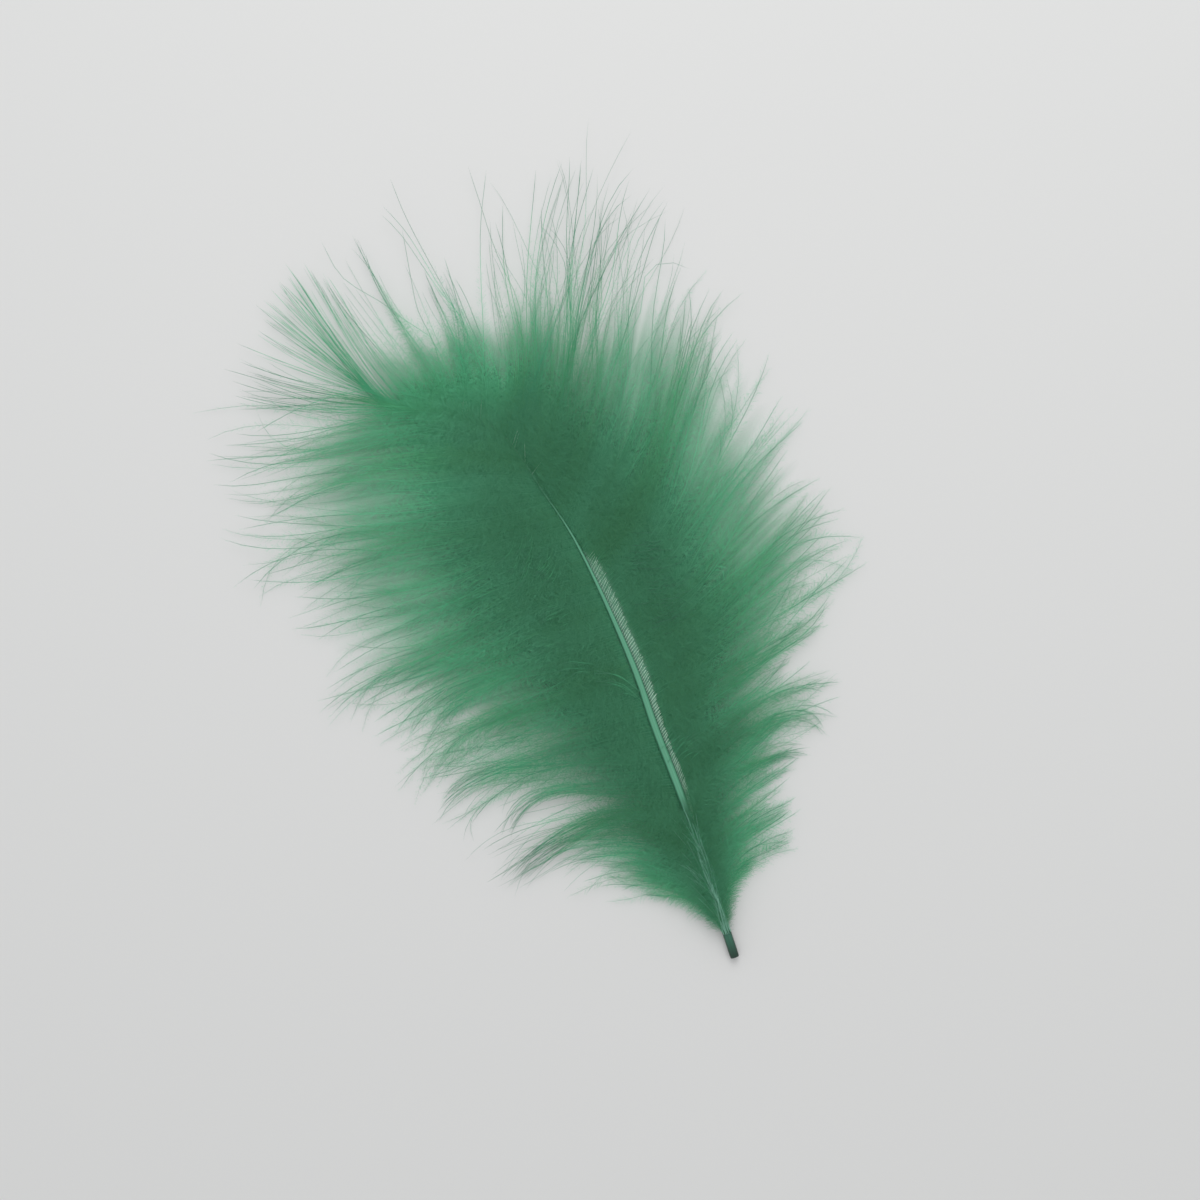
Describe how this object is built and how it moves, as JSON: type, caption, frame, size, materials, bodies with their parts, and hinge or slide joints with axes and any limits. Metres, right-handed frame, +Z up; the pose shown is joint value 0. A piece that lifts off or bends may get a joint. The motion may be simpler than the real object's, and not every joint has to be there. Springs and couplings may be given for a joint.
{
  "type": "marabou feather",
  "caption": "Green-dyed marabou feather lying flat: a short bare quill, a tapering shaft and long limp locks of down that spread to both sides and to the tip.",
  "frame": {"origin": "on the surface that the feather lies on, under the middle of its box", "axes": "+Y along the straight line from the cut end of the quill to the tip, +Z up from the surface, +X to the right seen from above"},
  "size_m": [0.0926, 0.1328, 0.0057],
  "materials": {
    "down": "matte",
    "quill": "satin"
  },
  "bodies": {
    "root": {"marabou_feather": "down"}
  },
  "joints": []
}
